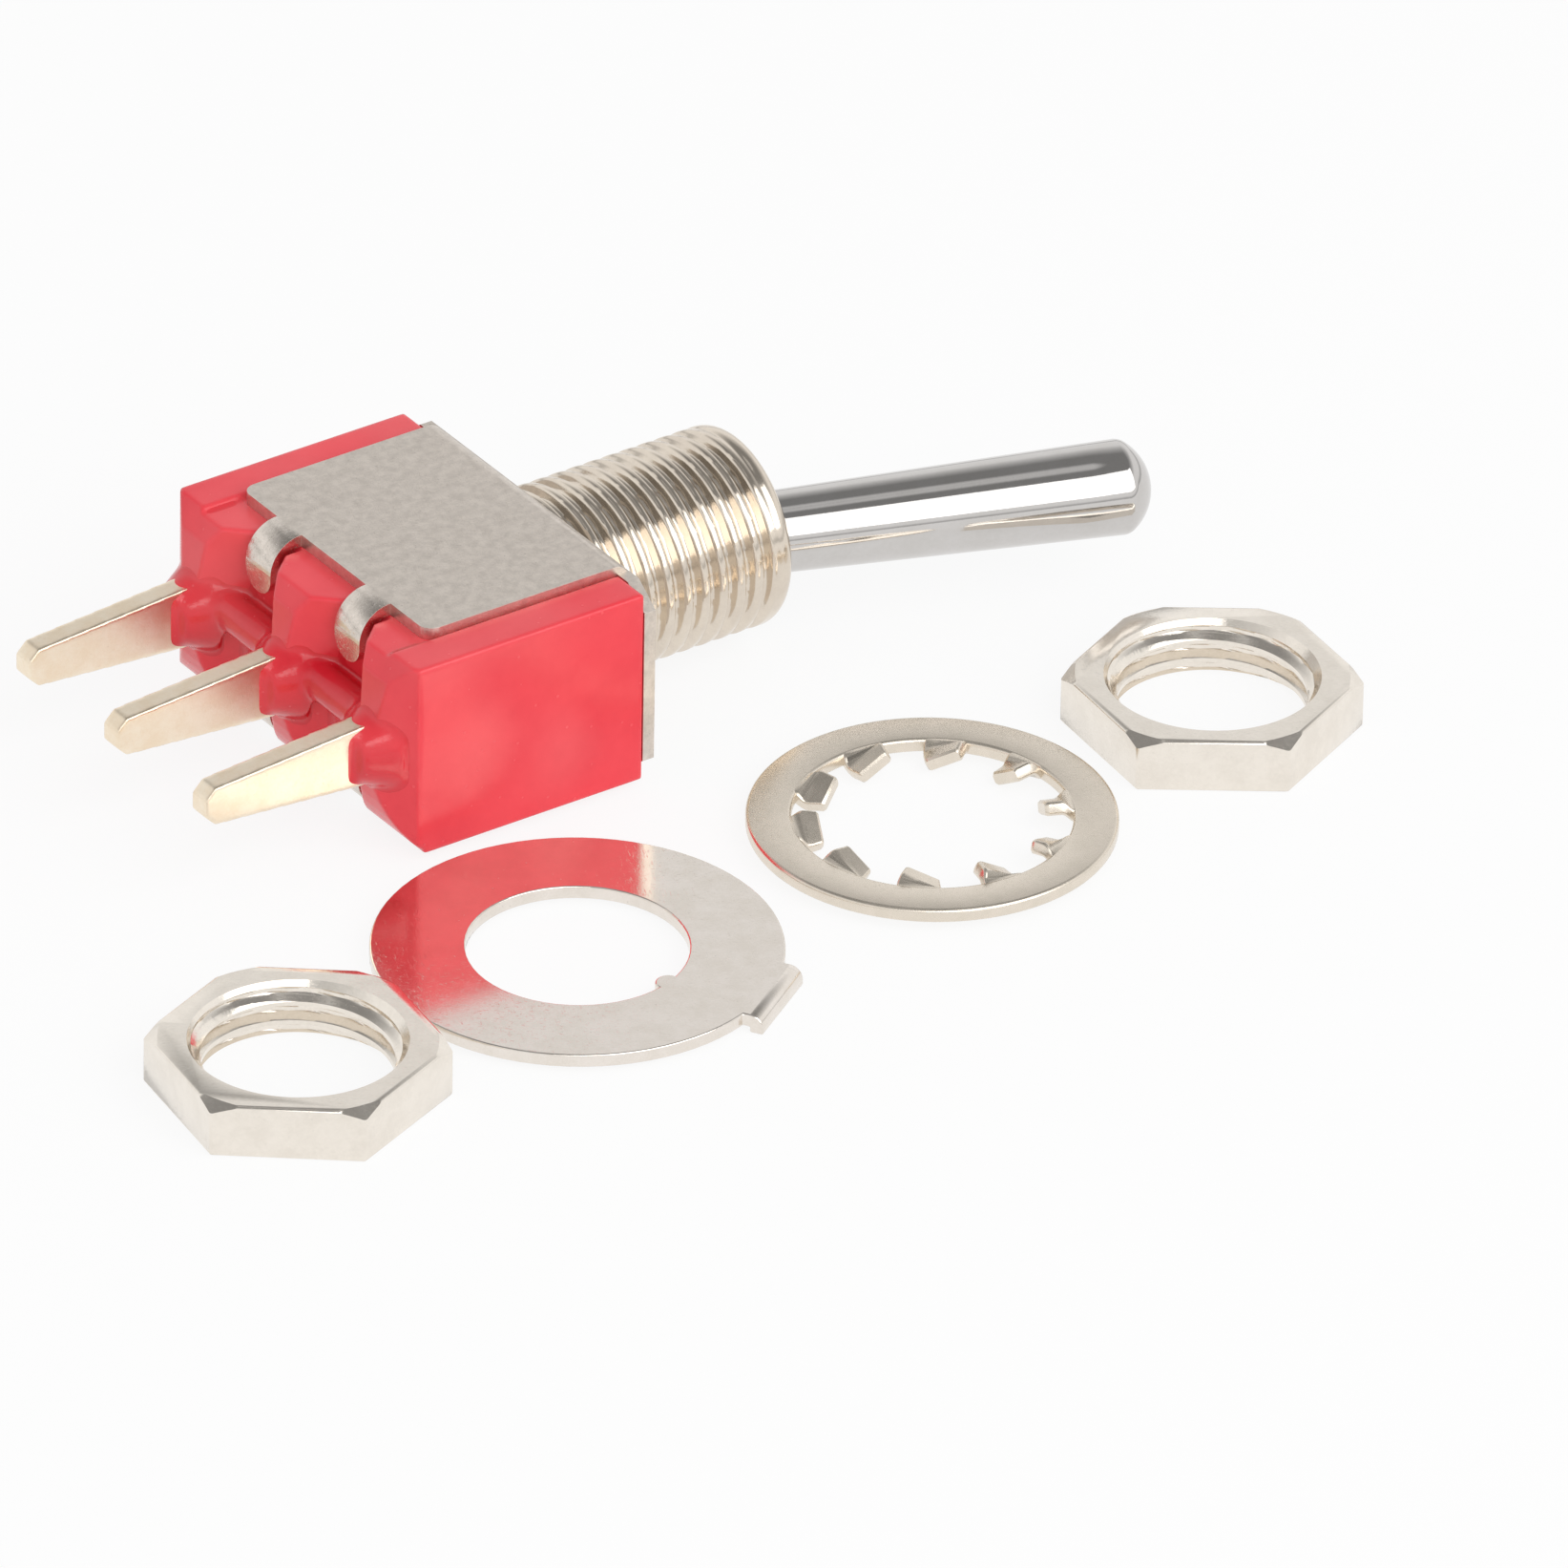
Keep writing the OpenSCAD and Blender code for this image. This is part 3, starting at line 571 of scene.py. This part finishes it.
nickel = metals["bright_nickel"]
bushing = copy_of("bushing", "threaded_bushing", nickel)
inner, outer = SLEEVE
end = BUSHING_END - 0.002
filled = [(0.0, inner), (0.0, outer), (end, outer), (end, inner), (0.0, inner)]
cut(bushing, piece_from(skin(turned(filled, AROUND), AROUND), "sleeve", nickel), "UNION")
keyway_size = (BUSHING_END + 1, 1.0, KEYWAY_W)
cut(bushing, box_piece((BUSHING_END / 2 + 0.5, 3.2, 0), keyway_size, "keyway", nickel), "DIFFERENCE")
head = turned([(BUSHING_START - 1, 9.0), (-0.005, 9.0)], AROUND)
coil = screw_rings(0.0, BUSHING_END + 0.02, CREST_R, ROOT_R)
coil = [barrel_ring(ring, ring[0][0] / MM) for ring in coil]
cut(bushing, piece_from(skin(head + coil, AROUND), "screw", nickel), "INTERSECT")
smooth_below(bushing, 40.0)
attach(bushing, "switch_body")
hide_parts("bushing")
print("threaded bushing has", len(bushing.data.polygons), "faces")

# %% [markdown]
# Nuts
#
# The nuts are stamped and turned: a hexagon whose corners are cut by a flat
# cone on one side only, and a wide countersink that leads to the thread. Each
# one is cut from a hexagon with soft edges: first by the cone, then by the bore,
# and last by the screw, a little larger than the bushing's own.

# %% Cut the nuts
NUT_EDGE = 0.09
CONE_R, CONE_SLOPE = 4.08, 0.65
BORE_R, LOW_SINK_R, HIGH_SINK_R = 2.84, 3.08, 3.24
LOW_SINK, HIGH_SINK = 0.22, 0.52


def upright(rings, middle, name):
    """A body of rings about X, stood up along Z at a place."""
    mesh = skin(rings, AROUND)
    stand = Matrix.Translation(middle) @ Matrix.Rotation(-math.pi / 2, 4, "Y")
    bmesh.ops.transform(mesh, matrix=stand, verts=mesh.verts)
    return piece_from(mesh, name, metals["tumbled_nickel"])


for name in ("nut_left", "nut_right"):
    low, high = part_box(name)
    middle, half = (low + high) / 2, (high.z - low.z) / 2 / MM
    arms = [vertex.co - middle for vertex in nodes[name].data.vertices]
    corner = max(arms, key=lambda arm: arm.xy.length)
    angles = [math.atan2(corner.y, corner.x) + math.pi * k / 3 for k in range(6)]
    arm = corner.xy.length
    hexagon = [
        [middle + Vector((arm * math.cos(a), arm * math.sin(a), z * MM)) for a in angles]
        for z in (-half, half)
    ]
    nut = piece_from(skin(hexagon, 6), "threaded_" + name, metals["tumbled_nickel"], smooth=False)
    soften(nut, NUT_EDGE, segments=4)
    settle(nut)
    cone = [(-2.0, CONE_R + (half + 2.0) / CONE_SLOPE), (half + 0.1, CONE_R - 0.1 / CONE_SLOPE)]
    cut(nut, upright(turned(cone, AROUND), middle, "cone"), "INTERSECT")
    bore = [(-half - 0.01, LOW_SINK_R), (-half + LOW_SINK, BORE_R)]
    bore += [(half - HIGH_SINK, BORE_R), (half + 0.01, HIGH_SINK_R)]
    cut(nut, upright(turned(bore, AROUND), middle, "bore"), "DIFFERENCE")
    cut(nut, upright(screw_rings(-1.5, 1.5, 3.13, 2.80), middle, "screw"), "DIFFERENCE")
    smooth_below(nut, 30.0)
    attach(nut, "switch_body")
    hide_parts(name)
    print(nut.name, "has", len(nut.data.polygons), "faces")

# %% [markdown]
# Lock washer
#
# Internal-tooth washers are stamped flat, and then each tooth is twisted about
# its own radius, so that its edges bite. The twist grows from nothing at the
# ring to its full angle at the tip. A tooth is swept along its radius: a small
# rounded rectangle that turns, narrows and ends in a worn tip. No two teeth are
# quite alike, so each has its own twist and length.

# %% Twist the teeth
LOCK_R, RING_R, TIP_HOLE_R = 5.5, 4.15, 3.24
LOCK_T, TOOTH_W, LOCK_TURN = 0.45, 1.3, 13.4
TOOTH_ROOT, TOOTH_STEPS = RING_R + 0.18, 14
TWISTS = (30, 26, 29, 24, 30, 27, 22, 30, 25, 28)
LENGTHS = (0.0, 0.10, 0.04, 0.0, 0.12, 0.02, 0.08, 0.0, 0.14, 0.05)


def rounded(width, thick, corner, steps=4):
    """Points of a rounded rectangle."""
    points = []
    for q, (sx, sy) in enumerate(((1, 1), (-1, 1), (-1, -1), (1, -1))):
        for k in range(steps + 1):
            a = math.pi / 2 * (q + k / steps)
            x, y = sx * (width / 2 - corner), sy * (thick / 2 - corner)
            points.append((x + corner * math.cos(a), y + corner * math.sin(a)))
    return points


def tooth_rings(turn, twist, short):
    """Rings of one tooth, from inside the ring to its worn tip."""
    tip = TIP_HOLE_R + short
    out = Vector((math.cos(turn), math.sin(turn), 0.0))
    side = Vector((-math.sin(turn), math.cos(turn), 0.0))
    rings = []
    for k in range(TOOTH_STEPS + 1):
        last = k == TOOTH_STEPS
        r = TOOTH_ROOT - (TOOTH_ROOT - tip) * k / TOOTH_STEPS
        angle = -math.radians(twist) * ease(RING_R + 0.02 - r, 0.0, 0.38)
        width = TOOTH_W * (1.0 - 0.16 * ease(RING_R - r, 0.3, 0.9)) * (0.93 if last else 1.0)
        thick = 0.96 * LOCK_T * (0.72 if last else 1.0)
        ring = []
        for a, b in rounded(width, thick, 0.09 if last else 0.11):
            across = a * math.cos(angle) - b * math.sin(angle)
            up = a * math.sin(angle) + b * math.cos(angle)
            ring.append((out * r + side * across + Vector((0, 0, up))) * MM)
        rings.append(ring)
    return rings


print("a tooth twists by", min(TWISTS), "to", max(TWISTS), "degrees")

# %% [markdown]
# Ring of the lock washer
#
# The flat ring is a rounded rectangle turned about the washer's axis. The
# teeth start a little way inside it, so that no gap shows at their roots.

# %% Put ring and teeth together
low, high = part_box("lock_washer")
middle = (low + high) / 2
section = [(x, r + (LOCK_R + RING_R) / 2) for r, x in rounded(LOCK_R - RING_R, LOCK_T, 0.12)]
washer = skin(turned(section + section[:1], 180), 180)
bmesh.ops.transform(washer, matrix=Matrix.Rotation(-math.pi / 2, 4, "Y"), verts=washer.verts)
for k, (twist, short) in enumerate(zip(TWISTS, LENGTHS)):
    tooth = skin(tooth_rings(math.radians(LOCK_TURN + 36 * k), twist, short), 20)
    part = bpy.data.meshes.new("tooth")
    tooth.to_mesh(part)
    tooth.free()
    washer.from_mesh(part)
    bpy.data.meshes.remove(part)
bmesh.ops.translate(washer, vec=middle, verts=washer.verts)
lock_washer = piece_from(washer, "toothed_washer", metals["toothed_nickel"])
smooth_below(lock_washer, 35.0)
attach(lock_washer, "switch_body")
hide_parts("lock_washer")
print("lock washer has", len(TWISTS), "teeth")

# %% [markdown]
# Lever
#
# The lever is turned from bar: a ball, a slim taper and a domed tip, with a
# hollow foot behind the ball. Chrome shows every flat of a coarse mesh as a
# broken reflection, so the lever is turned again here with many more steps,
# from the same sizes. Its two trunnions are small round pins.

# %% Turn the lever
BALL, NECK_R, TIP_R, LENGTH = 2.0, 1.22, 1.45, 14.9
FOOT_R, FOOT_END, FOOT_BORE, BORE_END = 0.7, 6.55, 0.4, 2.55
BALL_FROM, BALL_TO, NECK_X = -1.732, 1.585, 1.885
DOME_R, DOME_X = 1.682, 14.07
PIN_R, PIN_END = 0.5, 2.3
REST_TURN = -19.0


def arc(centre, radius, start, end, steps):
    """Points on a circle about the axis, from one place to another along it."""
    first, last = math.acos((start - centre) / radius), math.acos((end - centre) / radius)
    angles = [first + (last - first) * i / steps for i in range(steps + 1)]
    return [(centre + radius * math.cos(a), max(radius * math.sin(a), 1e-4)) for a in angles]


def taper(x0, r0, x1, r1, steps):
    return [(x0 + (x1 - x0) * i / steps, r0 + (r1 - r0) * i / steps) for i in range(1, steps + 1)]


profile = [(-BORE_END, 1e-4), (-BORE_END, FOOT_BORE), (-FOOT_END, FOOT_BORE)]
profile += [(-FOOT_END, FOOT_R), (-2.95, FOOT_R), (-1.6, 1.0)]
profile += arc(0.0, BALL, BALL_FROM, BALL_TO, 40) + [(NECK_X, NECK_R)]
profile += taper(NECK_X, NECK_R, DOME_X - 0.12, TIP_R, 12) + [(DOME_X, TIP_R - 0.02)]
profile += arc(LENGTH - DOME_R, DOME_R, DOME_X + 0.1, LENGTH - 1e-4, 24)
lever = piece_from(skin(turned(profile, 128), 128), "turned_lever", metals["polished_chrome"])
smooth_below(lever, 30.0)
step = 0.06
pin_profile = [(-PIN_END, PIN_R - step), (step - PIN_END, PIN_R)]
pin_profile += [(PIN_END - step, PIN_R), (PIN_END, PIN_R - step)]
pin = turned(pin_profile, 48)
trunnions = piece_from(skin(pin, 48), "trunnions", metals["polished_chrome"])
smooth_below(trunnions, 30.0)
rest_angle = Matrix.Rotation(math.radians(REST_TURN), 4, "Z")
at_pivot = Matrix.Translation((PIVOT_X, 0, 0)) @ rest_angle
lever.data.transform(at_pivot)
trunnions.data.transform(at_pivot @ Matrix.Rotation(math.pi / 2, 4, "Y"))
for piece in (lever, trunnions):
    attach(piece, "lever")
    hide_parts("lever")
print("the lever reaches", LENGTH, "mm from its pivot")

# %% [markdown]
# Plunger spring
#
# The spring behind the plunger gets shorter when the plunger slides into the
# lever's foot, and a stiff copy would then cut through the plunger. The coil here
# is such a copy of its solid, shaded smooth, carried by the lever and given a mesh
# of its own.

# %% Copy the spring onto the lever
spring = copy_of("plunger_spring", "plunger_coil", metals["drawn_wire"])
smooth_below(spring, 50.0)
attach(spring, "lever")
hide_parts("plunger_spring")
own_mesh(spring)

# %% [markdown]
# Moulded and plated forms
#
# A mould leaves every edge of the housing soft, outside and inside, and the
# terminals are stamped, tumbled and plated, so their corners are round too.
# A bevel can't follow all the small steps of such a part. Melting can: the
# solid is rebuilt from fine voxels and then smoothed, which wears down outer
# edges, fills inner ones and leaves flat faces flat. The flat faces then need
# few triangles, so the mesh is thinned out at the end.

# %% Melt the housing and the terminals
def melt(piece, voxel, rounds, keep, sink=0.0):
    """Rebuild from voxels of that size in mm, smooth, and keep a share of the mesh."""
    remesh = piece.modifiers.new("voxels", "REMESH")
    remesh.mode = "VOXEL"
    remesh.voxel_size = voxel * MM
    smooth = piece.modifiers.new("smooth", "SMOOTH")
    smooth.factor = 0.5
    smooth.iterations = rounds
    if sink:
        step = piece.modifiers.new("sink", "DISPLACE")
        step.mid_level = 0.0
        step.strength = -sink * MM
    thin = piece.modifiers.new("thin", "DECIMATE")
    thin.ratio = keep
    settle(piece)
    piece.data.shade_smooth()


TERMINALS = ("terminal_near", "terminal_centre", "terminal_far")
# node: new name, finish, slot, voxel in mm, rounds of smoothing, share of the mesh kept
MELTED = {"housing": ("moulded_housing", glossy_red, "red_plastic", 0.06, 7, 0.3)}
for name in TERMINALS:
    title = name.replace("terminal", "plated_blade")
    MELTED[name] = (title, metals["pale_gold"], "gold", 0.05, 8, 0.6)
for name, (title, material, slot, voxel, rounds, share) in MELTED.items():
    form = copy_of(name, title, material)
    melt(form, voxel, rounds, share)
    dress(form, material)
    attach(form, "switch_body")
    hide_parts(name)
    print(title, "has", len(form.data.polygons), "faces")

# %% [markdown]
# Poured epoxy
#
# Epoxy creeps into every corner between the terminals and the bosses before it
# sets, and leaves a smooth meniscus there. The same melting makes it: the back
# of the housing, the terminals' roots and the bead become one mesh, which is
# smoothed for longer. Its skin then sinks a hair's breadth. Where the plastic
# was flat it hides under it, and only the filled corners show.

# %% Melt the epoxy
SLAB_SIZE = (3.2, 14, 8)
SINK = 0.015
pool = copy_of("epoxy_seal", "poured_epoxy", poured_red)
for name in ("housing", *TERMINALS):
    part = copy_of(name, "melted_" + name, poured_red)
    cut(part, box_piece((BOSS_X + 0.4, 0, 0), SLAB_SIZE, "slab", poured_red), "INTERSECT")
    cut(pool, part, "UNION")
melt(pool, voxel=0.07, rounds=45, keep=0.7, sink=SINK)
dress(pool, poured_red)
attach(pool, "switch_body")
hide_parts("epoxy_seal")
print("epoxy has", len(pool.data.polygons), "faces")

# %% [markdown]
# Camera
#
# The switch is small and seen from far away through a long lens, which keeps
# its sides nearly parallel. The camera looks down by about a third of a right
# angle, from behind the terminals. Two unit vectors say which way is right and
# which way is up in the picture, and the third follows from them.

# %% Place the camera
eye = bpy.data.cameras.new("camera")
eye.sensor_width = 36.0
eye.lens = 600.0
eye.clip_end = 5.0
camera = bpy.data.objects.new("camera", eye)
bpy.context.scene.collection.objects.link(camera)
bpy.context.scene.camera = camera
RIGHT = Vector((0.82269135, -0.56830748, 0.01433706))
UP = Vector((0.28500939, 0.43414319, 0.85456968))
BACK = RIGHT.cross(UP)
AIM = Vector((3.20, -8.49, -3.43)) * MM
DISTANCE = 0.771
turn = Matrix((RIGHT, UP, BACK)).transposed()
camera.matrix_world = Matrix.Translation(AIM + BACK * DISTANCE) @ turn.to_4x4()
print("camera", round(DISTANCE / MM), "mm away")

# %% [markdown]
# Light
#
# Metal looks like what it mirrors, so it needs a room to mirror. This one is a
# pale tent. It's darker along the horizon and overhead, where it has one paler
# seam. One big soft lamp stands at the right, and a smaller one over the
# camera. Only mirror rays see the tent: the camera sees plain white, and the
# light that falls on the surfaces is even.

# %% World and lamps
world = bpy.data.worlds.new("studio")
bpy.context.scene.world = world
world.use_nodes = True
room = Graph(world.node_tree, "ShaderNodeOutputWorld")
way = room.node("TexCoord", out="Generated")
height = room.node("SeparateXYZ", {}, {0: way}, "Z")
overhead = height.above(0.45, 0.38)
seam = height.near(0.975, 0.015)
horizon = height.near(0.03, 0.08)
tent = 0.97 - 0.70 * overhead + 0.45 * seam - 0.45 * horizon
mirrored = room.node("LightPath", out="Is Glossy Ray")
seen = room.node("LightPath", out="Is Camera Ray")
EVEN = 0.66  # what rays get that come neither from a mirror nor from the camera
strength = EVEN + mirrored * (tent - EVEN) + seen * (1.0 - EVEN)
background = room.node("Background", {}, {"Color": (1.0, 1.0, 1.0), "Strength": strength})
room.plug(room.output.inputs["Surface"], background)


def lamp(name, bearing, rise, distance, size, power):
    """A soft lamp that faces the switch: angles in degrees, lengths in mm, power in watts."""
    light = bpy.data.lights.new(name, "AREA")
    light.shape = "RECTANGLE"
    light.size, light.size_y = size[0] * MM, size[1] * MM
    light.energy = power
    made = bpy.data.objects.new(name, light)
    bpy.context.scene.collection.objects.link(made)
    b, r = math.radians(bearing), math.radians(rise)
    outward = Vector((math.cos(b) * math.cos(r), math.sin(b) * math.cos(r), math.sin(r)))
    made.location = outward * distance * MM
    made.rotation_euler = outward.to_track_quat("Z", "Y").to_euler()
    made.visible_camera = False


lamp("right_softbox", -80.0, 38.0, 400.0, (440.0, 340.0), 0.80)
lamp("front_softbox", -125.0, 37.0, 900.0, (240.0, 180.0), 0.36)
print("two soft lamps: a big one at the right and a small one over the camera")

# %% [markdown]
# Table
#
# The table is white paper. For the camera and for mirrors, part of its
# brightness is its own, so the background is white and the shadows stay pale.

# %% Lay the table
OWN_LIGHT = 0.87
TABLE_SIZE = 1500.0
paper = Finish("white_paper", Roughness=0.8)
paper.set("Base Color", paper.mix(paper.noise(1.0), (0.90, 0.90, 0.90), (0.93, 0.93, 0.93)))
glow = paper.node("Emission", {}, {"Color": (1.0, 1.0, 1.0), "Strength": 1.0})
direct = paper.node("LightPath", out="Is Camera Ray") + paper.node("LightPath", out="Is Glossy Ray")
direct = direct + paper.node("LightPath", out="Is Transmission Ray")
plain = Field(paper, paper.shader.outputs["BSDF"])
lit = paper.node("MixShader", {}, {0: OWN_LIGHT * direct, 1: plain, 2: glow})
paper.plug(paper.output.inputs["Surface"], lit)
sheet = bmesh.new()
bmesh.ops.create_grid(sheet, x_segments=1, y_segments=1, size=TABLE_SIZE * MM)
bmesh.ops.translate(sheet, vec=(0, 0, TABLE_Z - 0.01 * MM), verts=sheet.verts)
piece_from(sheet, "table", paper.material, smooth=False)
bpy.context.scene.view_settings.view_transform = "Standard"
print("table at", round(TABLE_Z / MM, 2), "mm")
